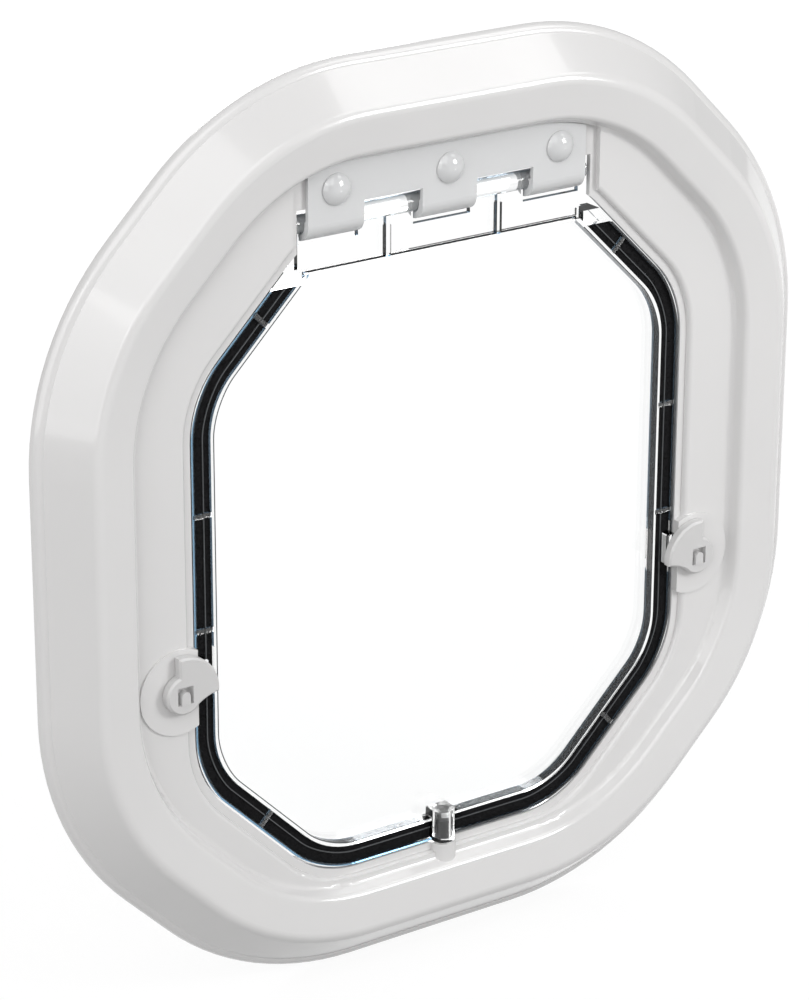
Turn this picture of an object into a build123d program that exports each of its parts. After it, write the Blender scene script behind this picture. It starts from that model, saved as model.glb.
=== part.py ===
from build123d import *
import math
import os

os.makedirs("parts", exist_ok=True)

# Dog door with a clear flap hung in a two part white frame.
# X runs across the door, Y runs through it from the room side (-Y) to the far side, +Z is up.
# The origin is the middle of the frame's outline, on the back plane of the front frame's rim.
# A depth is measured forward of that plane, towards the room.

# clear passage, measured to where its cut corners would meet
passage_width = 258.0
passage_height = 300.0
passage_cut = 63.0
passage_radius = 48.0

# flange round the passage, out to the foot of the raised ring
flange_side = 29.0
flange_top = 27.0
flange_bottom = 7.0
foot_cut = 75.0
foot_radius = 92.0

# section of the front frame
wall = 3.0
rim_margin = 41.0       # from the ring's foot out to the rim's edge
rim_edge = 0.8
foot_rise = 2.6         # face of the flat flange above the lip
inner_wall_run = 2.8
inner_wall_rise = 8.8
ridge_offset = 21.2
ridge_rise = 12.0
crease_offset = 37.0    # where the outer slope meets the rounded bead
crease_depth = 4.6
bead_offset = 40.1
bead_depth = 3.0
foot_round = 2.4
inner_ridge_round = 3.3
ridge_round = 5.5
drain_width = 5.5
drain_height = 3.0

# lip of the passage
lip_depth = 10.0
lip_ledge = 3.6
lip_round = 2.4
plate_wall = 2.5

# sleeves that slide into each other through the door leaf
sleeve_side = 14.0      # beyond the passage on each side
sleeve_top = 6.5        # below the top of the ring's foot
sleeve_bottom = 1.0     # beyond the passage at the bottom
sleeve_cut = 70.0
sleeve_radius = 52.0
sleeve_wall = 2.5
sleeve_gap = 0.4
front_sleeve_reach = 12.0
rear_sleeve_reach = 5.0
leaf_slot = 3.5
rear_depth = 18.0
rear_face_offset = 26.0
rear_rim_offset = 37.5
rear_wall = 2.5

# hinge
axis_drop = 26.0        # below the top of the ring's foot
axis_set = 5.2          # behind the lip
barrel_radius = 4.2
barrel_end_gap = 0.8
bore_gap = 0.35
knuckle_wall = 2.8
knuckle_width = 28.0
knuckle_pitch = 57.5
knuckle_count = 3
knuckle_upstand = 1.5
hinge_plate_inset = 7.5
hinge_plate_thick = 2.0
hinge_plate_gap = 0.4
recess_width = 158.0
head_ledge = 3.2        # floor left each side of the passage's rectangular head
cap_radius = 6.9
cap_skirt = 0.6
cap_rise = 3.2
cap_lift = 14.3         # above the axis
hinge_screw_radius = 2.0
hinge_screw_length = 11.0
hinge_head_radius = 3.8
hinge_head_thick = 2.2
hinge_boss_radius = 4.6
hinge_boss_reach = 8.5
screw_clear = 0.3
thread_clear = 0.05

# flap
flap_gap = 0.8
flap_set = 0.5          # front of the flap's rim behind the lip
flap_thick = 9.0
panel_set = 5.2         # front of the panel behind the lip
panel_thick = 2.5
outer_rim_wall = 0.8
channel_width = 8.8
inner_rim_wall = 1.7
back_rim_wall = 3.0
head_drop = 18.0        # top of the flap's corners below the axis
step_drop = 21.0        # top of the ledge below the axis
step_wall = 2.2
web_inset = 2.8
web_thick = 2.5
web_window_drop = 2.2
web_window_gap = 0.8
rib_pitch = 57.5
rib_thick = 2.2
rib_rise = 2.0
corner_block = 7.0
bar_width = 2.2
bar_thick = 1.2
upper_bar_rise = 34.0   # from the middle of the passage
lower_bar_drop = 18.0

# brush
brush_clear = 0.15
brush_top_clear = 0.3

# turn locks
lock_inset = 9.0        # out from the passage's side
lock_lift = 109.0       # above the passage's low edge
lock_thick = 4.2
lock_gap = 0.4
lock_hub_radius = 8.8
lock_nose_radius = 17.0
lock_nose_low = -6.0
lock_flank = 2.5
lock_round = 0.9
pad_radius = 19.5
pad_rise = 0.8
window_width = 7.6
window_height = 8.0
window_depth = 2.8
tongue_width = 4.2
tongue_rise = 0.5
stud_radius = 3.0
stud_gap = 0.35
stud_head_radius = 3.9
stud_head_thick = 1.4
catch_below = 3.5
catch_above = 12.0
catch_width = 4.4
catch_gap = 0.5

# magnets
magnet_radius = 2.9
magnet_length = 8.6
magnet_fit = 0.1
magnet_rise = 0.4       # in front of the lip
housing_radius = 5.4
housing_height = 15.0
housing_floor = 1.2
keeper_radius = 3.4
keeper_length = 4.0
cup_radius = 5.9
cup_height = 15.0
cup_floor = 1.2

# screws that draw the two frames together
screw_offset = 17.5     # outward from the foot
screw_rise = 60.0
screw_radius = 2.1
screw_length = 26.0
screw_head_radius = 4.0
screw_head_thick = 2.6
screw_seat = 6.0        # head's seat below the rear face
screw_boss_radius = 5.2
seat_wall = 2.0
plug_thick = 2.2
plug_gap = 0.1
plug_edge = 0.4

# worked out from the sizes above
foot_depth = lip_depth + foot_rise
inner_wall_depth = lip_depth + inner_wall_rise
ridge_depth = lip_depth + ridge_rise
axis_depth = lip_depth - axis_set
flap_front_depth = lip_depth - flap_set
flap_back_depth = flap_front_depth - flap_thick
panel_depth = lip_depth - panel_set
magnet_depth = lip_depth + magnet_rise
passage_half_width = passage_width / 2
passage_drop = (flange_top - flange_bottom) / 2
passage_top = passage_height / 2 - passage_drop
passage_low = passage_height / 2 + passage_drop
foot_half_width = passage_half_width + flange_side
foot_half_height = (passage_height + flange_top + flange_bottom) / 2
frame_height = 2 * (foot_half_height + rim_margin)
flap_low = passage_low - flap_gap
channel_inner = flap_gap + outer_rim_wall + channel_width
knuckle_radius = barrel_radius + bore_gap + knuckle_wall
axis_height = foot_half_height - axis_drop
hinge_plate_low = axis_height + knuckle_radius
cap_height = axis_height + cap_lift
head_width = recess_width - 2 * head_ledge
barrel_length = head_width - 2 * barrel_end_gap
web_width = head_width - 2 * web_inset
flap_head = axis_height - head_drop
step_height = axis_height - step_drop
web_window_low = axis_height - knuckle_radius - web_window_drop
hinge_face_depth = axis_depth + knuckle_radius
lip_back_depth = lip_depth - plate_wall
pad_depth = foot_depth + pad_rise
lock_back_depth = pad_depth + lock_gap
lock_face_depth = lock_back_depth + lock_thick
lock_offset = passage_half_width + lock_inset
lock_height = lock_lift - passage_low
catch_low = lock_height - catch_below
catch_high = lock_height + catch_above
panel_back_depth = panel_depth - panel_thick
brush_depth = flap_front_depth - bar_thick - brush_clear
screw_pocket_radius = screw_head_radius + screw_clear
screw_x = foot_half_width + screw_offset
bar_middle = (flap_gap + channel_inner + inner_rim_wall) / 2
side_bar_x = passage_half_width - bar_middle
corner_bar_in = passage_cut / 2 + bar_middle / 2 ** 0.5
bar_sites = [
    (side_bar_x, upper_bar_rise - passage_drop, 0),
    (side_bar_x, -lower_bar_drop - passage_drop, 0),
    (passage_half_width - corner_bar_in, passage_top - corner_bar_in, 45),
    (passage_half_width - corner_bar_in, corner_bar_in - passage_low, -45),
]
knuckle_sites = [knuckle_pitch * (i - (knuckle_count - 1) / 2) for i in range(knuckle_count)]


def at(depth):
    return Plane.XZ.offset(depth)


def octagon(half_width, top, bottom, cut, radius):
    """Closed outline with its four corners cut and rounded."""
    right = [(half_width - cut, top), (half_width, top - cut)]
    right += [(half_width, bottom + cut), (half_width - cut, bottom)]
    left = [(-x, z) for x, z in reversed(right)]
    FilletPolyline(*right, *left, radius=radius, close=True)


def foot_outline(grow=0.0):
    cut = foot_cut + grow * (2 - 2 ** 0.5)
    high = foot_half_height + grow
    octagon(foot_half_width + grow, high, -high, cut, foot_radius + grow)


def passage_outline(grow=0.0):
    cut = passage_cut + grow * (2 - 2 ** 0.5)
    octagon(passage_half_width + grow, passage_top + grow, -passage_low - grow, cut, passage_radius + grow)


def sleeve_outline(grow=0.0):
    cut = sleeve_cut + grow * (2 - 2 ** 0.5)
    top = foot_half_height - sleeve_top + grow
    low = -passage_low - sleeve_bottom - grow
    octagon(passage_half_width + sleeve_side + grow, top, low, cut, sleeve_radius + grow)


def head_rectangle(width, top, mode=Mode.ADD):
    with Locations((0, top / 2)):
        Rectangle(width, top, mode=mode)


# right half of the ring's foot, from the top middle round to the bottom middle
with BuildLine(Plane.XZ) as half_foot:
    FilletPolyline(
        (0, foot_half_height),
        (foot_half_width - foot_cut, foot_half_height),
        (foot_half_width, foot_half_height - foot_cut),
        (foot_half_width, foot_cut - foot_half_height),
        (foot_half_width - foot_cut, -foot_half_height),
        (0, -foot_half_height),
        radius=foot_radius,
    )
ring_path = half_foot.wires()[0]
ring_section = Plane(origin=(0, 0, foot_half_height), x_dir=(0, 0, 1), z_dir=(-1, 0, 0))
screw_sites = [(x, z) for x in (-screw_x, screw_x) for z in (screw_rise, -screw_rise)]

# raised ring of the front frame, one skin of even wall swept along its foot
with BuildPart() as front_ring:
    with BuildSketch(ring_section):
        with BuildLine():
            slope = FilletPolyline(
                (-wall, -foot_depth),
                (0, -foot_depth),
                (inner_wall_run, -inner_wall_depth),
                (ridge_offset, -ridge_depth),
                (crease_offset, -crease_depth),
                radius=(foot_round, inner_ridge_round, ridge_round),
            )
            bead = ThreePointArc(slope @ 1, (bead_offset, -bead_depth), (rim_margin, -rim_edge))
            Line(bead @ 1, (rim_margin, 0))
            offset(amount=wall, side=Side.LEFT)
        make_face()
    sweep(path=ring_path)
    mirror(about=Plane.YZ)

# front frame, from the flat flange inwards
with BuildPart() as front_frame:
    with BuildSketch(at(foot_depth)):
        with BuildLine():
            foot_outline(wall + 1)
        make_face()
        with BuildLine():
            passage_outline(lip_ledge)
        make_face(mode=Mode.SUBTRACT)
    extrude(amount=-wall)
    flange_face = front_frame.faces().sort_by(Axis.Y)[0]
    fillet(flange_face.inner_wires()[0].edges(), radius=lip_round)
    add(front_ring.part)

    # recess for the hinge plate, open to the passage
    with BuildSketch(at(lip_depth)):
        with BuildLine():
            foot_outline()
        make_face()
        with Locations((0, foot_half_height)):
            Rectangle(recess_width, foot_half_height, mode=Mode.INTERSECT)
    extrude(amount=foot_depth, mode=Mode.SUBTRACT)

    # lip and recess floor
    with BuildSketch(at(lip_depth)):
        with BuildLine():
            sleeve_outline(sleeve_wall)
        make_face()
        head_rectangle(recess_width + 2 * wall, foot_half_height)
        with BuildLine():
            passage_outline()
        make_face(mode=Mode.SUBTRACT)
        head_rectangle(head_width, hinge_plate_low, Mode.SUBTRACT)
    extrude(amount=-plate_wall)
    with BuildSketch(at(foot_depth)):
        head_rectangle(head_width, hinge_plate_low)
    extrude(amount=-wall, mode=Mode.SUBTRACT)

    # sleeve through the leaf
    with BuildSketch(at(lip_back_depth)):
        with BuildLine():
            sleeve_outline(sleeve_wall)
        make_face()
        with BuildLine():
            sleeve_outline()
        make_face(mode=Mode.SUBTRACT)
    extrude(amount=-(lip_back_depth + front_sleeve_reach))

    # round pads under the locks, cut off by the passage
    with BuildSketch(at(pad_depth)):
        with Locations((-lock_offset, lock_height), (lock_offset, lock_height)):
            Circle(pad_radius)
        with BuildLine():
            passage_outline()
        make_face(mode=Mode.SUBTRACT)
    extrude(amount=lip_depth - pad_depth)
    with BuildSketch(at(pad_depth)):
        with Locations((-lock_offset, lock_height), (lock_offset, lock_height)):
            Circle(stud_radius + stud_gap)
    extrude(amount=lip_back_depth - pad_depth - 1, mode=Mode.SUBTRACT)

    # cup for the lower magnet, standing across the flange into the ring
    with BuildSketch(Plane.XY.offset(-passage_low - cup_height)):
        with Locations((0, -magnet_depth)):
            Circle(cup_radius)
    extrude(amount=cup_height)
    with BuildSketch(Plane.XY.offset(-passage_low - cup_height)):
        with Locations((0, -magnet_depth)):
            Circle(keeper_radius + magnet_fit)
    extrude(amount=cup_height - cup_floor, mode=Mode.SUBTRACT)

    # bosses for the hinge screws and for the frame screws
    with BuildSketch(at(lip_back_depth)):
        with Locations(*[(x, cap_height) for x in knuckle_sites]):
            Circle(hinge_boss_radius)
    extrude(amount=-hinge_boss_reach)
    with BuildSketch(at(lip_depth)):
        with Locations(*[(x, cap_height) for x in knuckle_sites]):
            Circle(hinge_screw_radius + thread_clear)
    extrude(amount=-(plate_wall + hinge_boss_reach), mode=Mode.SUBTRACT)
    with BuildSketch(at(0)):
        with Locations(*screw_sites):
            Circle(screw_boss_radius)
    extrude(until=Until.NEXT)
    with BuildSketch(at(0)):
        with Locations(*screw_sites):
            Circle(screw_radius + thread_clear)
    extrude(amount=screw_length - rear_depth + screw_seat + 1, mode=Mode.SUBTRACT)

    # drain notch in the rim at the bottom
    with BuildSketch(at(0)):
        with Locations((0, -frame_height / 2)):
            Rectangle(drain_width, 4 * wall)
    extrude(amount=drain_height, mode=Mode.SUBTRACT)
front_frame.part.label = "front_frame"
export_step(front_frame.part, "parts/front_frame.step")

# rear frame, a lower ring with its own sleeve around the front one
with BuildPart() as rear_ring:
    with BuildSketch(ring_section):
        with BuildLine():
            FilletPolyline(
                (0, rear_depth),
                (rear_face_offset, rear_depth),
                (rear_rim_offset, leaf_slot),
                radius=ridge_round,
            )
            offset(amount=rear_wall, side=Side.RIGHT)
        make_face()
    sweep(path=ring_path)
    mirror(about=Plane.YZ)
with BuildPart() as rear_frame:
    add(rear_ring.part)
    with BuildSketch(at(-rear_depth)):
        with BuildLine():
            foot_outline(1.0)
        make_face()
        with BuildLine():
            sleeve_outline(sleeve_wall + sleeve_gap)
        make_face(mode=Mode.SUBTRACT)
    extrude(amount=rear_wall)
    with BuildSketch(at(-rear_depth)):
        with BuildLine():
            sleeve_outline(2 * sleeve_wall + sleeve_gap)
        make_face()
        with BuildLine():
            sleeve_outline(sleeve_wall + sleeve_gap)
        make_face(mode=Mode.SUBTRACT)
    extrude(amount=rear_depth + rear_sleeve_reach)
    with BuildSketch(at(-rear_depth)):
        with Locations(*screw_sites):
            Circle(screw_pocket_radius + seat_wall)
    extrude(amount=screw_seat + seat_wall)
    with BuildSketch(at(-rear_depth)):
        with Locations(*screw_sites):
            Circle(screw_pocket_radius)
    extrude(amount=screw_seat, mode=Mode.SUBTRACT)
    with BuildSketch(at(-rear_depth)):
        with Locations(*screw_sites):
            Circle(screw_radius + screw_clear)
    extrude(amount=rear_depth, mode=Mode.SUBTRACT)
rear_frame.part.label = "rear_frame"
export_step(rear_frame.part, "parts/rear_frame.step")

# flap, one clear moulding with a brush channel round its edge and a barrel along its top
with BuildPart() as flap:
    with BuildSketch(at(flap_front_depth)):
        with BuildLine():
            passage_outline(-flap_gap)
        make_face()
    extrude(amount=flap_back_depth - flap_front_depth)
    with BuildSketch(at(flap_front_depth)):
        with BuildLine():
            passage_outline(-channel_inner - inner_rim_wall)
        make_face()
    extrude(amount=panel_depth - flap_front_depth, mode=Mode.SUBTRACT)
    with BuildSketch(at(flap_front_depth)):
        with BuildLine():
            passage_outline(-flap_gap - outer_rim_wall)
        make_face()
        with BuildLine():
            passage_outline(-channel_inner)
        make_face(mode=Mode.SUBTRACT)
    extrude(amount=panel_depth - flap_front_depth, mode=Mode.SUBTRACT)
    with BuildSketch(at(flap_back_depth)):
        with BuildLine():
            passage_outline(-flap_gap - back_rim_wall)
        make_face()
    extrude(amount=panel_back_depth - flap_back_depth, mode=Mode.SUBTRACT)

    # corner blocks that close the channel's upper ends
    with BuildSketch(at(flap_front_depth)):
        with BuildLine():
            passage_outline(-flap_gap)
        make_face()
        with Locations((0, flap_head - corner_block / 2)):
            Rectangle(passage_width, corner_block, mode=Mode.INTERSECT)
        head_rectangle(web_width, flap_head + corner_block, Mode.SUBTRACT)
    extrude(amount=panel_depth - flap_front_depth)

    # cut off level above the corners and above the ledge
    with BuildSketch(at(flap_front_depth)):
        with Locations((0, flap_head)):
            Rectangle(passage_width, passage_drop * 4, align=(Align.CENTER, Align.MIN))
        with Locations((0, step_height)):
            Rectangle(web_width, passage_drop * 4, align=(Align.CENTER, Align.MIN))
    extrude(amount=flap_back_depth - flap_front_depth, mode=Mode.SUBTRACT)

    # ledge, hinge web with a window under each knuckle, and the barrel
    with BuildSketch(at(axis_depth + web_thick / 2)):
        with Locations((0, step_height)):
            Rectangle(web_width + step_wall, step_wall, align=(Align.CENTER, Align.MAX))
    extrude(amount=panel_back_depth - axis_depth - web_thick / 2)
    with BuildSketch(at(axis_depth + web_thick / 2)):
        with Locations((0, step_height - step_wall)):
            Rectangle(web_width, axis_height - step_height + step_wall, align=(Align.CENTER, Align.MIN))
        with Locations(*[(x, web_window_low) for x in knuckle_sites]):
            Rectangle(
                knuckle_width + 2 * web_window_gap,
                axis_height,
                align=(Align.CENTER, Align.MIN),
                mode=Mode.SUBTRACT,
            )
    extrude(amount=-web_thick)
    with BuildSketch(at(axis_depth)):
        with Locations((-rib_pitch / 2, step_height), (rib_pitch / 2, step_height)):
            Rectangle(rib_thick, axis_height - step_height, align=(Align.CENTER, Align.MIN))
    extrude(amount=web_thick / 2 + rib_rise)
    with BuildSketch(Plane.YZ.offset(-barrel_length / 2)):
        with Locations((-axis_depth, axis_height)):
            Circle(barrel_radius)
    extrude(amount=barrel_length)

    # bars that hold the brush down
    with BuildSketch(at(flap_front_depth)):
        for x, z, turn in bar_sites:
            for side in (-1, 1):
                with Locations((side * x, z)):
                    Rectangle(channel_width + inner_rim_wall, bar_width, rotation=side * turn)
    extrude(amount=-bar_thick)

    # catches behind the lock noses
    with BuildSketch(at(lock_back_depth - catch_gap)):
        for side in (-1, 1):
            with Locations((side * (passage_half_width - flap_gap - catch_width / 2), (catch_low + catch_high) / 2)):
                RectangleRounded(catch_width, catch_high - catch_low, 1.2)
    extrude(amount=panel_depth - lock_back_depth + catch_gap)

    # upright housing for the magnet in the bottom edge
    with BuildSketch(Plane.XY.offset(-flap_low)):
        with Locations((0, -magnet_depth)):
            Circle(housing_radius)
        with Locations((0, -panel_back_depth)):
            Rectangle(2 * housing_radius, magnet_depth - panel_back_depth, align=(Align.CENTER, Align.MAX))
    extrude(amount=housing_height)
    with BuildSketch(Plane.XY.offset(housing_floor - flap_low)):
        with Locations((0, -magnet_depth)):
            Circle(magnet_radius + magnet_fit)
    extrude(amount=housing_height, mode=Mode.SUBTRACT)
flap.part.label = "flap"
export_step(flap.part, "parts/flap.step")

# brush, one strip each side between the corner block and the magnet housing
with BuildPart() as right_brush:
    with BuildSketch(at(brush_depth)):
        with BuildLine():
            passage_outline(-flap_gap - outer_rim_wall - brush_clear)
        make_face()
        with BuildLine():
            passage_outline(brush_clear - channel_inner)
        make_face(mode=Mode.SUBTRACT)
        brush_start = housing_radius + brush_top_clear
        with Locations((brush_start, flap_head - corner_block - brush_top_clear)):
            Rectangle(
                passage_width,
                frame_height,
                align=(Align.MIN, Align.MAX),
                mode=Mode.INTERSECT,
            )
        with Locations((passage_half_width, (catch_low + catch_high) / 2)):
            Rectangle(
                2 * (catch_width + flap_gap + brush_clear),
                catch_high - catch_low + 2 * brush_clear,
                mode=Mode.SUBTRACT,
            )
    extrude(amount=panel_depth + brush_clear - brush_depth)
right_brush.part.label = "right_brush"
export_step(right_brush.part, "parts/right_brush.step")
with BuildPart() as left_brush:
    mirror(right_brush.part, about=Plane.YZ)
left_brush.part.label = "left_brush"
export_step(left_brush.part, "parts/left_brush.step")

# hinge plate with three open knuckles that hold the barrel
with BuildPart() as hinge_plate:
    with BuildSketch(at(hinge_face_depth)):
        with BuildLine():
            foot_outline(-hinge_plate_gap)
        make_face()
        with Locations((0, hinge_plate_low)):
            Rectangle(
                recess_width - 2 * hinge_plate_inset,
                frame_height,
                align=(Align.CENTER, Align.MIN),
                mode=Mode.INTERSECT,
            )
    extrude(amount=-hinge_plate_thick)
    for x in knuckle_sites:
        with BuildSketch(Plane.YZ.offset(x - knuckle_width / 2)):
            with Locations((-axis_depth, axis_height)):
                Circle(knuckle_radius)
            with Locations((-axis_depth, axis_height + knuckle_upstand)):
                Rectangle(4 * knuckle_radius, frame_height, align=(Align.CENTER, Align.MIN), mode=Mode.SUBTRACT)
            with Locations((-hinge_face_depth, axis_height)):
                Rectangle(hinge_plate_thick, hinge_plate_low - axis_height + 1, align=Align.MIN)
            with Locations((-axis_depth, axis_height)):
                Circle(barrel_radius + bore_gap, mode=Mode.SUBTRACT)
        extrude(amount=knuckle_width)
    with BuildSketch(at(hinge_face_depth)):
        with Locations(*[(x, cap_height) for x in knuckle_sites]):
            Circle(hinge_screw_radius + screw_clear)
    extrude(amount=-hinge_plate_thick, mode=Mode.SUBTRACT)
hinge_plate.part.label = "hinge_plate"
export_step(hinge_plate.part, "parts/hinge_plate.step")

# screws of the hinge plate, and the domed cap over each head
with BuildPart() as hinge_screws:
    with BuildSketch(at(hinge_face_depth)):
        with Locations(*[(x, cap_height) for x in knuckle_sites]):
            Circle(hinge_head_radius)
    extrude(amount=hinge_head_thick)
    with BuildSketch(at(hinge_face_depth)):
        with Locations(*[(x, cap_height) for x in knuckle_sites]):
            Circle(hinge_screw_radius)
    extrude(amount=-hinge_screw_length)
hinge_screws.part.label = "hinge_screws"
export_step(hinge_screws.part, "parts/hinge_screws.step")
dome_radius = (cap_radius ** 2 + cap_rise ** 2) / (2 * cap_rise)
for name, x in zip(("left", "middle", "right"), knuckle_sites):
    with BuildPart() as screw_cap:
        with BuildSketch(Plane(origin=(x, -hinge_face_depth, cap_height), x_dir=(1, 0, 0), z_dir=(0, 0, 1))):
            with BuildLine():
                Line((0, 0), (cap_radius, 0))
                Line((cap_radius, 0), (cap_radius, -cap_skirt))
                RadiusArc((cap_radius, -cap_skirt), (0, -cap_skirt - cap_rise), dome_radius)
                Line((0, -cap_skirt - cap_rise), (0, 0))
            make_face()
            Rectangle(
                hinge_head_radius + screw_clear,
                2 * (hinge_head_thick + screw_clear),
                align=(Align.MIN, Align.CENTER),
                mode=Mode.SUBTRACT,
            )
        revolve(axis=Axis((x, 0, cap_height), (0, 1, 0)))
    screw_cap.part.label = name + "_screw_cap"
    export_step(screw_cap.part, "parts/" + name + "_screw_cap.step")

# turn lock, a quarter nose on a round hub with a split stud behind
nose_low = math.radians(lock_nose_low)
nose_end = math.degrees(math.acos(-lock_flank / lock_nose_radius))
with BuildPart() as left_lock:
    with BuildSketch(at(lock_back_depth)):
        with Locations((-lock_offset, lock_height)):
            Circle(lock_hub_radius)
        with BuildLine():
            nose = CenterArc((-lock_offset, lock_height), lock_nose_radius, lock_nose_low, nose_end - lock_nose_low)
            flank = Line(nose @ 1, (-lock_offset - lock_flank, lock_height))
            hub_low = (-lock_offset + 0.55 * lock_hub_radius, lock_height - 0.82 * lock_hub_radius)
            Line(flank @ 1, hub_low)
            ThreePointArc(hub_low, (-lock_offset + 1.2 * lock_hub_radius, lock_height - 3.5), nose @ 0)
        make_face()
    extrude(amount=lock_thick)
    front_edges = left_lock.faces().sort_by(Axis.Y)[0].edges()
    chamfer(front_edges, length=lock_round)
    with BuildSketch(at(lock_face_depth)):
        with Locations((-lock_offset, lock_height)):
            Rectangle(window_width, window_height)
    extrude(amount=-window_depth, mode=Mode.SUBTRACT)
    with BuildSketch(at(lock_face_depth - window_depth)):
        with Locations((-lock_offset, lock_height - window_height / 2)):
            SlotOverall(window_height * 2 - tongue_width, tongue_width, rotation=90)
            Rectangle(4 * window_width, window_height, align=(Align.CENTER, Align.MAX), mode=Mode.SUBTRACT)
    extrude(amount=window_depth + tongue_rise)
    with BuildSketch(at(lock_back_depth)):
        with Locations((-lock_offset, lock_height)):
            Circle(stud_radius)
    extrude(amount=lip_back_depth - lock_back_depth - stud_gap)
    with BuildSketch(at(lip_back_depth - stud_gap)):
        with Locations((-lock_offset, lock_height)):
            Circle(stud_head_radius)
    extrude(amount=-stud_head_thick)
left_lock.part.label = "left_lock"
export_step(left_lock.part, "parts/left_lock.step")
with BuildPart() as right_lock:
    mirror(left_lock.part, about=Plane.YZ)
right_lock.part.label = "right_lock"
export_step(right_lock.part, "parts/right_lock.step")

# magnets, the plug above the upper one and the keeper in the frame's cup
with BuildPart() as flap_magnet:
    with BuildSketch(Plane.XY.offset(housing_floor - flap_low)):
        with Locations((0, -magnet_depth)):
            Circle(magnet_radius)
    extrude(amount=magnet_length)
flap_magnet.part.label = "flap_magnet"
export_step(flap_magnet.part, "parts/flap_magnet.step")
with BuildPart() as magnet_plug:
    with BuildSketch(Plane.XY.offset(housing_floor - flap_low + magnet_length)):
        with Locations((0, -magnet_depth)):
            Circle(magnet_radius)
    extrude(amount=housing_height - housing_floor - magnet_length)
magnet_plug.part.label = "magnet_plug"
export_step(magnet_plug.part, "parts/magnet_plug.step")
with BuildPart() as frame_magnet:
    with BuildSketch(Plane.XY.offset(-passage_low - cup_floor)):
        with Locations((0, -magnet_depth)):
            Circle(keeper_radius)
    extrude(amount=-keeper_length)
frame_magnet.part.label = "frame_magnet"
export_step(frame_magnet.part, "parts/frame_magnet.step")

# frame screws, driven from the rear, and the plugs over their heads
with BuildPart() as frame_screws:
    with BuildSketch(at(screw_seat - rear_depth)):
        with Locations(*screw_sites):
            Circle(screw_head_radius)
    extrude(amount=-screw_head_thick)
    with BuildSketch(at(screw_seat - rear_depth)):
        with Locations(*screw_sites):
            Circle(screw_radius)
    extrude(amount=screw_length)
frame_screws.part.label = "frame_screws"
export_step(frame_screws.part, "parts/frame_screws.step")
plug_names = ("upper_left", "lower_left", "upper_right", "lower_right")
for name, (x, z) in zip(plug_names, screw_sites):
    with BuildPart() as plug:
        with BuildSketch(at(-rear_depth)):
            with Locations((x, z)):
                Circle(screw_pocket_radius - plug_gap)
        extrude(amount=plug_thick)
        outer_edge = plug.edges().sort_by(Axis.Y)[-1]
        chamfer(outer_edge, length=plug_edge)
    plug.part.label = name + "_plug"
    export_step(plug.part, "parts/" + name + "_plug.step")
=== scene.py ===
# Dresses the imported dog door: camera, soft studio, finishes, the dark lines of the flap, and the brush pile.
# Everything is in metres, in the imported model's own frame: X across, -Y towards the room, +Z up.
import math
import random

import bmesh
import bpy
from mathutils import Matrix, Vector


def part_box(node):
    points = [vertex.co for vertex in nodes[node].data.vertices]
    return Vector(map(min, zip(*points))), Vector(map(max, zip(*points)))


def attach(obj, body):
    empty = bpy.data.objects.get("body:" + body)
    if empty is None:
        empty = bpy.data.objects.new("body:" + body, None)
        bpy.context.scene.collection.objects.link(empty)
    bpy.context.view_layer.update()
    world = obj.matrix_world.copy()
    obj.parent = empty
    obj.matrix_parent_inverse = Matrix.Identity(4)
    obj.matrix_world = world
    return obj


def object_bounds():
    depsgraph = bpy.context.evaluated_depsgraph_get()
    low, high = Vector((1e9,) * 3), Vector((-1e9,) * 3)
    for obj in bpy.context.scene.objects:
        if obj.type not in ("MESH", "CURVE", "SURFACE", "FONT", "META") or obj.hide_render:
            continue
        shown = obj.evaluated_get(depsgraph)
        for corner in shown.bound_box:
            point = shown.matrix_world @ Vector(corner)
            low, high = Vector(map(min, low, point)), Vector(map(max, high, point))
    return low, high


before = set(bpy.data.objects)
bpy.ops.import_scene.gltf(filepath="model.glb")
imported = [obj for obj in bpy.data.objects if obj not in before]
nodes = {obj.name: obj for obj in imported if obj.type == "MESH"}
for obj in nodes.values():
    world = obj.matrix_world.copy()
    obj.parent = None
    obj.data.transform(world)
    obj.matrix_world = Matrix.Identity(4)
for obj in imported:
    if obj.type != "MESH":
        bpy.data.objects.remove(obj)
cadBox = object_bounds()
scene = bpy.context.scene
scene.view_settings.view_transform = "Standard"
mm = 0.001
plainWhite = (1, 1, 1, 1)
sides = (("left", -1), ("right", 1))
print("frame loaded:", len(nodes), "nodes")


def keepPiece(name, bm, body, material):
    bmesh.ops.recalc_face_normals(bm, faces=bm.faces)
    mesh = bpy.data.meshes.new(name)
    bm.to_mesh(mesh)
    bm.free()
    mesh.shade_flat()
    mesh.materials.append(material)
    piece = bpy.data.objects.new(name, mesh)
    scene.collection.objects.link(piece)
    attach(piece, body)


# camera
view = {
    "turn": -34.76,  # degrees from straight in front, towards the left
    "rise": 21.43,
    "roll": 0.22,
    "distance": 1.6019,
    "aside": -0.0118,  # the camera's shift along its own picture, so the frame sits off the middle
    "above": 0.0011,
    "pictureHeight": 1000,  # pixels
    "focal": 3657.5,  # pixels
    "sensor": 36,  # mm, along the picture's height
    "clipEnd": 30,
}
turn, rise, roll = (math.radians(view[key]) for key in ("turn", "rise", "roll"))
backward = Vector((math.sin(turn) * math.cos(rise), -math.cos(turn) * math.cos(rise), math.sin(rise)))
level = Vector((math.cos(turn), math.sin(turn), 0))
upward = backward.cross(level)
right = level * math.cos(roll) + upward * math.sin(roll)
up = upward * math.cos(roll) - level * math.sin(roll)
camera = bpy.data.cameras.new("camera")
camera.sensor_width = view["sensor"]
camera.lens = view["sensor"] * view["focal"] / view["pictureHeight"]
camera.clip_end = view["clipEnd"]
cameraObject = bpy.data.objects.new("camera", camera)
place = backward * view["distance"] + right * view["aside"] + up * view["above"]
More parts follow.
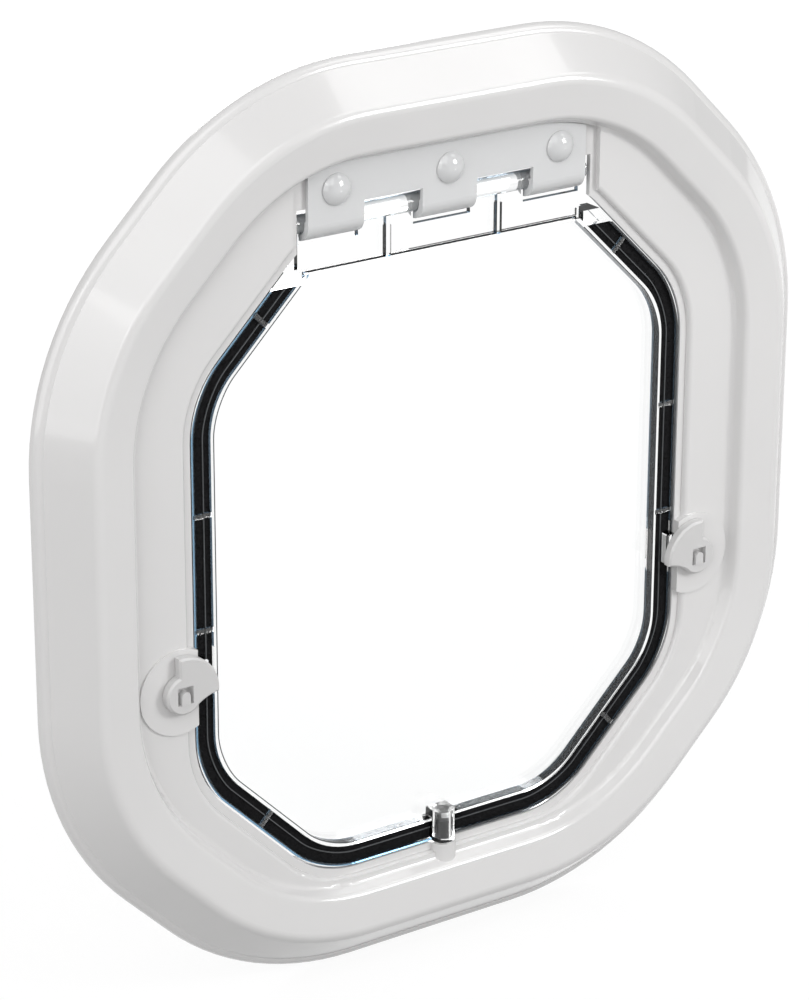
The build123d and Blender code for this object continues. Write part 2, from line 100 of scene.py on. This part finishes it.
cameraObject.matrix_world = Matrix.Translation(place) @ Matrix((right, up, backward)).transposed().to_4x4()
scene.collection.objects.link(cameraObject)
scene.camera = cameraObject
print("camera placed")

# studio: a pale floor, a white surround and five soft lamps, each placed by the reflection it gives
studio = {
    "worldLevel": 0.42,
    "floorSize": 12,
    "floorColour": (0.28, 0.28, 0.28),  # what the object is lit by
    "floorSeen": (0.95, 0.95, 0.95),
    "floorGlow": 0.9,  # share of the floor that is plain white to the camera, so its shadow stays faint
}
lamps = {
    "keyLamp": {"at": (0.85, -1.15, 0.6), "size": 0.5, "power": 11.5},
    "topLamp": {"at": (1.38, -0.78, 2.05), "size": 1.15, "power": 10},
    "upperLeftLamp": {"at": (-0.95, -1.4, 1.6), "size": 1.8, "power": 17},
    "leftLamp": {"at": (-2.0, -0.8, 0.3), "size": 2.2, "power": 29},
    "backLamp": {"at": (0.6, 2.2, 0.9), "size": 1.6, "power": 44},
}


def mathStep(tree, operation, value, other=None):
    # other is a second socket, a number or nothing
    step = tree.nodes.new("ShaderNodeMath")
    step.operation = operation
    tree.links.new(value, step.inputs[0])
    if isinstance(other, bpy.types.NodeSocket):
        tree.links.new(other, step.inputs[1])
    elif other is not None:
        step.inputs[1].default_value = other
    return step.outputs[0]


def rayShare(tree, kinds):
    # 1 for the kinds of ray that see the plain background, 0 for those that light the object
    path = tree.nodes.new("ShaderNodeLightPath")
    share = path.outputs[kinds[0]]
    for kind in kinds[1:]:
        share = mathStep(tree, "MAXIMUM", share, path.outputs[kind])
    return share


def whiteLight(tree, kind, strength):
    light = tree.nodes.new(kind)
    light.inputs["Color"].default_value = plainWhite
    light.inputs["Strength"].default_value = strength
    return light


def mixColours(tree, share, first, second):
    mix = tree.nodes.new("ShaderNodeMix")
    mix.data_type = "RGBA"
    mix.inputs["A"].default_value = (*first, 1)
    mix.inputs["B"].default_value = (*second, 1)
    tree.links.new(share, mix.inputs["Factor"])
    return mix.outputs["Result"]


def mixShaders(tree, share, first, second, output):
    mix = tree.nodes.new("ShaderNodeMixShader")
    tree.links.new(share, mix.inputs["Fac"])
    tree.links.new(first.outputs[0], mix.inputs[1])
    tree.links.new(second.outputs[0], mix.inputs[2])
    tree.links.new(mix.outputs[0], output.inputs["Surface"])


world = bpy.data.worlds.new("studioWorld")
world.use_nodes = True
tree = world.node_tree
tree.nodes.clear()
mixShaders(
    tree, rayShare(tree, ("Is Camera Ray", "Is Transmission Ray")),
    whiteLight(tree, "ShaderNodeBackground", studio["worldLevel"]),
    whiteLight(tree, "ShaderNodeBackground", 1),
    tree.nodes.new("ShaderNodeOutputWorld"),
)
scene.world = world

for name, lamp in lamps.items():
    light = bpy.data.lights.new(name, "AREA")
    light.shape = "SQUARE"
    light.size = lamp["size"]
    light.energy = lamp["power"]
    lampObject = bpy.data.objects.new(name, light)
    lampObject.location = lamp["at"]
    lampObject.rotation_euler = Vector(lamp["at"]).to_track_quat("Z", "Y").to_euler()
    scene.collection.objects.link(lampObject)

floorMesh = bmesh.new()
bmesh.ops.create_grid(floorMesh, x_segments=1, y_segments=1, size=studio["floorSize"] / 2)
bmesh.ops.translate(floorMesh, verts=floorMesh.verts, vec=(0, 0, cadBox[0].z))
floorData = bpy.data.meshes.new("floor")
floorMesh.to_mesh(floorData)
floorMesh.free()
floor = bpy.data.objects.new("floor", floorData)
scene.collection.objects.link(floor)
floorPaint = bpy.data.materials.new("paleFloor")
floorPaint.use_nodes = True
tree = floorPaint.node_tree
tree.nodes.clear()
matt = tree.nodes.new("ShaderNodeBsdfDiffuse")
seen = rayShare(tree, ("Is Camera Ray", "Is Transmission Ray", "Is Glossy Ray"))
floorTint = mixColours(tree, seen, studio["floorColour"], studio["floorSeen"])
tree.links.new(floorTint, matt.inputs["Color"])
mixShaders(
    tree, mathStep(tree, "MULTIPLY", seen, studio["floorGlow"]),
    matt,
    whiteLight(tree, "ShaderNodeEmission", 1),
    tree.nodes.new("ShaderNodeOutputMaterial"),
)
floorData.materials.append(floorPaint)
print("studio set")

# finishes of the moulded pieces: patch and skin are noise scales, skinHeight is in metres
finishes = {
    "glossWhite": {
        "colour": (0.652, 0.645, 0.642), "shade": (0.622, 0.616, 0.614), "patch": 18,
        "roughness": (0.16, 0.24), "coat": 0.6, "skin": 900, "skinHeight": 0.00003, "skinStrength": 0.12,
    },
    "softWhite": {
        "colour": (0.577, 0.572, 0.57), "shade": (0.547, 0.543, 0.541), "patch": 40,
        "roughness": (0.32, 0.42), "coat": 0.0, "skin": 1600, "skinHeight": 0.00003, "skinStrength": 0.15,
    },
    "capWhite": {
        "colour": (0.60, 0.604, 0.608), "shade": (0.56, 0.565, 0.57), "patch": 60,
        "roughness": (0.06, 0.12), "coat": 0.8, "skin": 1200, "skinHeight": 0.00002, "skinStrength": 0.05,
    },
    "rearWhite": {
        "colour": (0.70, 0.704, 0.708), "shade": (0.66, 0.665, 0.67), "patch": 14,
        "roughness": (0.24, 0.34), "coat": 0.1, "skin": 900, "skinHeight": 0.00003, "skinStrength": 0.15,
    },
    "frostedPlate": {
        "colour": (0.70, 0.704, 0.708), "shade": (0.67, 0.674, 0.678), "patch": 30,
        "roughness": (0.30, 0.40), "coat": 0.2, "skin": 2600, "skinHeight": 0.00004, "skinStrength": 0.3,
        "transmission": 0.12, "subsurface": 0.25,
    },
    "pileBlack": {
        "colour": (0.005, 0.005, 0.0055), "shade": (0.012, 0.012, 0.013), "patch": 700,
        "roughness": (0.75, 0.95), "coat": 0.0, "skin": 3000, "skinHeight": 0.0003, "skinStrength": 0.9,
        "specular": 0.12,
    },
    "magnetBlack": {
        "colour": (0.004, 0.004, 0.005), "shade": (0.009, 0.009, 0.01), "patch": 900,
        "roughness": (0.65, 0.85), "coat": 0.0, "skin": 2500, "skinHeight": 0.00006, "skinStrength": 0.4,
        "specular": 0.1,
    },
    # painted shade: the two dark clear finishes below colour the strips and web lines that stand in for clear
    # walls seen edge-on
    "blueEdgeShade": {
        "colour": (0.18, 0.35, 0.50), "shade": (0.16, 0.31, 0.46), "patch": 120,
        "roughness": (0.02, 0.06), "coat": 0.0, "skin": 900, "skinHeight": 0.00002, "skinStrength": 0.05,
        "transmission": 1,
    },
    "darkEdgeShade": {
        "colour": (0.05, 0.055, 0.06), "shade": (0.04, 0.045, 0.05), "patch": 120,
        "roughness": (0.02, 0.06), "coat": 0.0, "skin": 900, "skinHeight": 0.00002, "skinStrength": 0.05,
        "transmission": 1,
    },
    # painted highlight: the grey of the thin line over the pile, where a clear wall's edge catches light
    "greyEdgeHighlight": {
        "colour": (0.08, 0.085, 0.09), "shade": (0.05, 0.053, 0.056), "patch": 240,
        "roughness": (0.25, 0.4), "coat": 0.0, "skin": 900, "skinHeight": 0.00003, "skinStrength": 0.1,
    },
}
moulding = {  # what all moulded finishes share
    "patchDetail": 3,
    "skinDetail": 2,
    "coatRoughness": 0.06,
    "specular": 0.5,  # where the finish names none
    "scatterDepth": 0.003,
}


def newPaint(name):
    material = bpy.data.materials.new(name)
    material.use_nodes = True
    tree = material.node_tree
    return material, tree, tree.nodes["Principled BSDF"], tree.nodes.new("ShaderNodeTexCoord")


def noise(tree, where, scale, detail):
    texture = tree.nodes.new("ShaderNodeTexNoise")
    texture.inputs["Scale"].default_value = scale
    texture.inputs["Detail"].default_value = detail
    tree.links.new(where.outputs["Object"], texture.inputs["Vector"])
    return texture.outputs["Fac"]


def spread(tree, value, start, end, low=0, high=1):
    # start becomes low and end becomes high, with nothing outside them
    mapped = tree.nodes.new("ShaderNodeMapRange")
    for socket, number in (("From Min", start), ("From Max", end), ("To Min", low), ("To Max", high)):
        mapped.inputs[socket].default_value = number
    tree.links.new(value, mapped.inputs["Value"])
    return mapped.outputs["Result"]


def raiseSkin(tree, shader, height, strength, distance):
    bump = tree.nodes.new("ShaderNodeBump")
    bump.inputs["Strength"].default_value = strength
    bump.inputs["Distance"].default_value = distance
    tree.links.new(height, bump.inputs["Height"])
    tree.links.new(bump.outputs["Normal"], shader.inputs["Normal"])


def moulded(name):
    # colour drifts a little over the piece, roughness varies with it, and a fine skin breaks up the gloss
    look = finishes[name]
    material, tree, shader, where = newPaint(name)
    drift = noise(tree, where, look["patch"], moulding["patchDetail"])
    skin = noise(tree, where, look["skin"], moulding["skinDetail"])
    tree.links.new(mixColours(tree, drift, look["colour"], look["shade"]), shader.inputs["Base Color"])
    tree.links.new(spread(tree, drift, 0, 1, *look["roughness"]), shader.inputs["Roughness"])
    raiseSkin(tree, shader, skin, look["skinStrength"], look["skinHeight"])
    shader.inputs["Coat Weight"].default_value = look["coat"]
    shader.inputs["Coat Roughness"].default_value = moulding["coatRoughness"]
    shader.inputs["Transmission Weight"].default_value = look.get("transmission", 0)
    shader.inputs["Specular IOR Level"].default_value = look.get("specular", moulding["specular"])
    if "subsurface" in look:
        shader.inputs["Subsurface Weight"].default_value = look["subsurface"]
        shader.inputs["Subsurface Radius"].default_value = (1, 1, 1)
        shader.inputs["Subsurface Scale"].default_value = moulding["scatterDepth"]
    return material


clear = {
    "faceColour": (0.99, 0.995, 0.995),
    "paintedEdgeShade": (0.10, 0.14, 0.18),  # painted shade: walls seen edge-on through the flap are coloured darker and slightly blue, standing in for the dark the clear plastic shows there
    "edgeStart": 0.25,  # share of the normal that points through the flap: at or under it, a wall gets the full painted shade
    "edgeEnd": 0.95,
    "index": 1.49,
    "unshadedSpots": [(0, -0.154), (-0.125, -0.047), (0.125, -0.047)],  # the painted edge shade is left off around the magnet housing and catches
    "unshadedReach": 0.013,
    "scuffScale": 260,
    "scuffDetail": 4,
    "scuffStart": 0.45,
    "scuffEnd": 0.9,
    "roughness": (0.0, 0.035),
}


def clearPlastic(name):
    material, tree, shader, where = newPaint(name)
    shader.inputs["Transmission Weight"].default_value = 1
    shader.inputs["IOR"].default_value = clear["index"]
    scuff = noise(tree, where, clear["scuffScale"], clear["scuffDetail"])
    roughness = spread(tree, scuff, clear["scuffStart"], clear["scuffEnd"], *clear["roughness"])
    tree.links.new(roughness, shader.inputs["Roughness"])
    # painted shade: the base colour darkens and turns blue as the surface turns side-on to the flap, except
    # near the listed spots
    parts = tree.nodes.new("ShaderNodeSeparateXYZ")
    tree.links.new(where.outputs["Normal"], parts.inputs[0])
    depthways = mathStep(tree, "ABSOLUTE", parts.outputs["Y"])
    shaded = spread(tree, depthways, clear["edgeEnd"], clear["edgeStart"])
    flat = tree.nodes.new("ShaderNodeVectorMath")
    flat.operation = "MULTIPLY"
    flat.inputs[1].default_value = (1, 0, 1)
    tree.links.new(where.outputs["Object"], flat.inputs[0])
    for x, z in clear["unshadedSpots"]:
        away = tree.nodes.new("ShaderNodeVectorMath")
        away.operation = "DISTANCE"
        away.inputs[1].default_value = (x, 0, z)
        tree.links.new(flat.outputs["Vector"], away.inputs[0])
        outside = mathStep(tree, "GREATER_THAN", away.outputs["Value"], clear["unshadedReach"])
        shaded = mathStep(tree, "MULTIPLY", shaded, outside)
    shadedColour = mixColours(tree, shaded, clear["faceColour"], clear["paintedEdgeShade"])
    tree.links.new(shadedColour, shader.inputs["Base Color"])
    return material


steel = {
    "colour": (0.55, 0.56, 0.57),
    "roughness": (0.22, 0.42),
    "grain": 1400,
    "grainDetail": 2,
    "grainStrength": 0.2,
    "grainHeight": 0.00003,
}


def zincSteel(name):
    material, tree, shader, where = newPaint(name)
    shader.inputs["Base Color"].default_value = (*steel["colour"], 1)
    shader.inputs["Metallic"].default_value = 1
    grain = noise(tree, where, steel["grain"], steel["grainDetail"])
    tree.links.new(spread(tree, grain, 0, 1, *steel["roughness"]), shader.inputs["Roughness"])
    raiseSkin(tree, shader, grain, steel["grainStrength"], steel["grainHeight"])
    return material


paints = {name: moulded(name) for name in finishes}
paints["clearFlap"] = clearPlastic("clearFlap")
paints["screwSteel"] = zincSteel("screwSteel")
nodeFinish = {
    "front_frame": "glossWhite",
    "rear_frame": "rearWhite",
    "flap": "clearFlap",
    "magnet_plug": "clearFlap",
    "left_brush": "pileBlack",
    "right_brush": "pileBlack",
    "hinge_plate": "frostedPlate",
    "left_screw_cap": "capWhite",
    "middle_screw_cap": "capWhite",
    "right_screw_cap": "capWhite",
    "left_lock": "softWhite",
    "right_lock": "softWhite",
    "flap_magnet": "magnetBlack",
    "frame_magnet": "magnetBlack",
    "hinge_screws": "screwSteel",
    "frame_screws": "screwSteel",
    "upper_left_plug": "capWhite",
    "lower_left_plug": "capWhite",
    "upper_right_plug": "capWhite",
    "lower_right_plug": "capWhite",
}
for name, finish in nodeFinish.items():
    for slot in nodes[name].material_slots:
        slot.material = paints[finish]
print("finishes given to", len(nodeFinish), "nodes")

# painted lines along the flap's edge, the pile and the panel, from the hinge to the magnet housing: dark
# strips are painted shade where the clear walls are seen edge-on, the grey strip on the pile is a painted
# highlight
passage = {  # the outline that the painted lines follow
    "halfWidth": 129 * mm,
    "top": 140 * mm,
    "bottom": -160 * mm,
    "cut": 63 * mm,
    "radius": 48 * mm,
    "roundSteps": 12,
}
paintedLines = {  # inset from that outline, depths of back and front towards the room, finish of each side
    # painted shade: the dark blue that the clear outer edge wall shows over the pile, painted darker on the
    # right side
    "edge_shade_line": {
        "inset": 0.85 * mm, "width": 1.2 * mm, "back": 9.45 * mm, "front": 9.6 * mm,
        "slot": "clear_plastic", "left": "blueEdgeShade", "right": "darkEdgeShade",
    },
    # painted highlight: a grey line over the black pile where the edge of a clear wall catches light
    "pile_highlight_line": {
        "inset": 6.7 * mm, "width": 0.45 * mm, "back": 8.0 * mm, "front": 8.75 * mm,
        "slot": "brush_pile", "left": "greyEdgeHighlight", "right": "greyEdgeHighlight",
    },
    # painted shade: a dark line where the clear inner rim wall rises from the panel
    "panel_shade_line": {
        "inset": 11.65 * mm, "width": 0.45 * mm, "back": 9.45 * mm, "front": 9.6 * mm,
        "slot": "clear_plastic", "left": "darkEdgeShade", "right": "darkEdgeShade",
    },
}


def octagonLoop(bm, inset, depth):
    # the passage's outline moved inwards, its corners rounded
    side = passage["halfWidth"] - inset
    top, bottom = passage["top"] - inset, passage["bottom"] + inset
    cut = passage["cut"] - inset * (2 - math.sqrt(2))  # the cut corners shorten as the outline moves in
    corners = [
        bm.verts.new((x, -depth, z))
        for x, z in (
            (side - cut, top), (side, top - cut), (side, bottom + cut), (side - cut, bottom),
            (cut - side, bottom), (-side, bottom + cut), (-side, top - cut), (cut - side, top),
        )
    ]
    known = set(bm.edges)
    for start, end in zip(corners, corners[1:] + corners[:1]):
        bm.edges.new((start, end))
    reach = (passage["radius"] - inset) * math.tan(math.pi / 8)  # from a corner of 45 degrees to its arc
    bmesh.ops.bevel(
        bm, geom=corners, affect="VERTICES", offset=reach, offset_type="OFFSET",
        segments=passage["roundSteps"], profile=0.5, material=-1,
    )
    return [edge for edge in bm.edges if edge not in known]


def layPaintedLine(sideName, sideSign, kind):
    paintedLine = paintedLines[kind]
    bm = bmesh.new()
    loops = octagonLoop(bm, paintedLine["inset"], paintedLine["front"])
    loops += octagonLoop(bm, paintedLine["inset"] + paintedLine["width"], paintedLine["front"])
    bmesh.ops.bridge_loops(bm, edges=loops)
    grown = bmesh.ops.extrude_face_region(bm, geom=bm.faces[:])["geom"]
    backVerts = [item for item in grown if isinstance(item, bmesh.types.BMVert)]
    bmesh.ops.translate(bm, verts=backVerts, vec=(0, paintedLine["front"] - paintedLine["back"], 0))
    brushLow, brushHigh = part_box("right_brush")  # the left strip mirrors it
    ends = (
        ((0, 0, brushHigh.z), (0, 0, 1)),
        ((sideSign * brushLow.x, 0, 0), (-sideSign, 0, 0)),
    )
    for spot, outward in ends:
        bmesh.ops.bisect_plane(
            bm, geom=bm.verts[:] + bm.edges[:] + bm.faces[:],
            plane_co=spot, plane_no=outward, clear_outer=True,
        )
        bmesh.ops.holes_fill(bm, edges=[edge for edge in bm.edges if edge.is_boundary])
    keepPiece(sideName + "_" + kind, bm, "flap", paints[paintedLine[sideName]])


for sideName, sideSign in sides:
    for kind in paintedLines:
        layPaintedLine(sideName, sideSign, kind)
print("beads laid")

# painted shade: dark lines where the hinge web meets the panel and its two ribs
webShadeLines = {
    "halfWidth": 71.5 * mm,
    "low": 119.5 * mm,
    "high": 120.4 * mm,
    "back": 6.05 * mm,  # the web's face
    "front": 6.3 * mm,
    "ribMiddle": 28.75 * mm,
    "ribHalf": 1.1 * mm,
    "ribLine": 0.4 * mm,
    "ribTop": 134 * mm,
    "ribFront": 8.0 * mm,
}


def layBar(bm, low, high):
    middle = (Vector(low) + Vector(high)) / 2
    span = Vector(high) - Vector(low)
    bmesh.ops.create_cube(bm, size=1, matrix=Matrix.Translation(middle) @ Matrix.Diagonal((*span, 1)))


web = bmesh.new()
layBar(
    web, (-webShadeLines["halfWidth"], -webShadeLines["front"], webShadeLines["low"]),
    (webShadeLines["halfWidth"], -webShadeLines["back"], webShadeLines["high"]),
)
for ribX in (-webShadeLines["ribMiddle"], webShadeLines["ribMiddle"]):
    for side in (-1, 1):
        inner = ribX + side * webShadeLines["ribHalf"]
        outer = inner + side * webShadeLines["ribLine"]
        layBar(
            web, (min(inner, outer), -webShadeLines["ribFront"], webShadeLines["high"]),
            (max(inner, outer), -webShadeLines["back"], webShadeLines["ribTop"]),
        )
keepPiece("web_shade_lines", web, "flap", paints["blueEdgeShade"])
print("web lines laid")

# pile: short fibres that stand out of each brush strip
pile = {
    "fibres": 5200,  # on each strip
    "batch": 130,  # fibres
    "facing": -0.9,  # a face under this Y of its normal carries fibres
    "length": 0.55 * mm,
    "root": 0.16 * mm,
    "tip": 0.05 * mm,
    "lean": 0.35,
    "middle": 0.4,  # share of the length at which a fibre's middle stands, so that its root is in the strip
    "seed": 4,
    "strays": 70,
    "strayX": 7.5 * mm,
    "strayRise": 1.0 * mm,
    "straySpread": 0.7 * mm,
    "strayAside": (-1, 1),  # least and most of a stray's direction
    "strayOut": (-0.8, -0.1),
    "strayUp": (0, 1.2),
    "strayLength": 3.0 * mm,
    "strayShare": (0.5, 1),  # of that length
    "strayRoot": 0.07 * mm,
    "strayMiddle": 0.5,
}


def pourInto(whole, part):
    batch = bpy.data.meshes.new("batch")
    part.to_mesh(batch)
    whole.from_mesh(batch)
    bpy.data.meshes.remove(batch)
    part.clear()


def addFibre(bm, root, heading, length, thickness, middle):
    bmesh.ops.create_cone(
        bm, segments=3, radius1=thickness, radius2=pile["tip"], depth=length,
        matrix=Matrix.Translation(root + heading * length * middle)
        @ heading.to_track_quat("Z", "Y").to_matrix().to_4x4(),
    )


def growPile(sideName, sideSign):
    brush = sideName + "_brush"
    source = bmesh.new()
    source.from_mesh(nodes[brush].data)
    front = [face for face in source.faces if face.normal.y < pile["facing"]]
    areas = [face.calc_area() for face in front]
    chance = random.Random(pile["seed"])
    strip = bmesh.new()
    tuft = bmesh.new()
    for count, face in enumerate(chance.choices(front, weights=areas, k=pile["fibres"]), 1):
        a, b, c = (vert.co for vert in face.verts[:3])
        along, across = chance.random(), chance.random()
        if along + across > 1:
            along, across = 1 - along, 1 - across
        root = a + (b - a) * along + (c - a) * across
        lean = Vector((chance.uniform(-1, 1), 0, chance.uniform(-1, 1))) * pile["lean"]
        addFibre(tuft, root, Vector((0, -1, 0)) + lean, pile["length"], pile["root"], pile["middle"])
        if count % pile["batch"] == 0:  # small batches go into the strip, which is quicker than one long mesh
            pourInto(strip, tuft)
    source.free()
    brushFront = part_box(brush)[0].y
    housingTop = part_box("flap_magnet")[1].z
    for _ in range(pile["strays"]):  # loose ends by the magnet housing
        root = Vector((
            sideSign * (pile["strayX"] + chance.gauss(0, pile["straySpread"])),
            brushFront,
            housingTop + pile["strayRise"] + chance.gauss(0, pile["straySpread"]),
        ))
        aside, out, upwards = (chance.uniform(*pile[key]) for key in ("strayAside", "strayOut", "strayUp"))
        heading = Vector((aside, out, upwards)).normalized()
        length = pile["strayLength"] * chance.uniform(*pile["strayShare"])
        addFibre(tuft, root, heading, length, pile["strayRoot"], pile["strayMiddle"])
    pourInto(strip, tuft)
    tuft.free()
    keepPiece(sideName + "_pile", strip, "flap", paints["pileBlack"])


for sideName, sideSign in sides:
    growPile(sideName, sideSign)
print("pile grown")
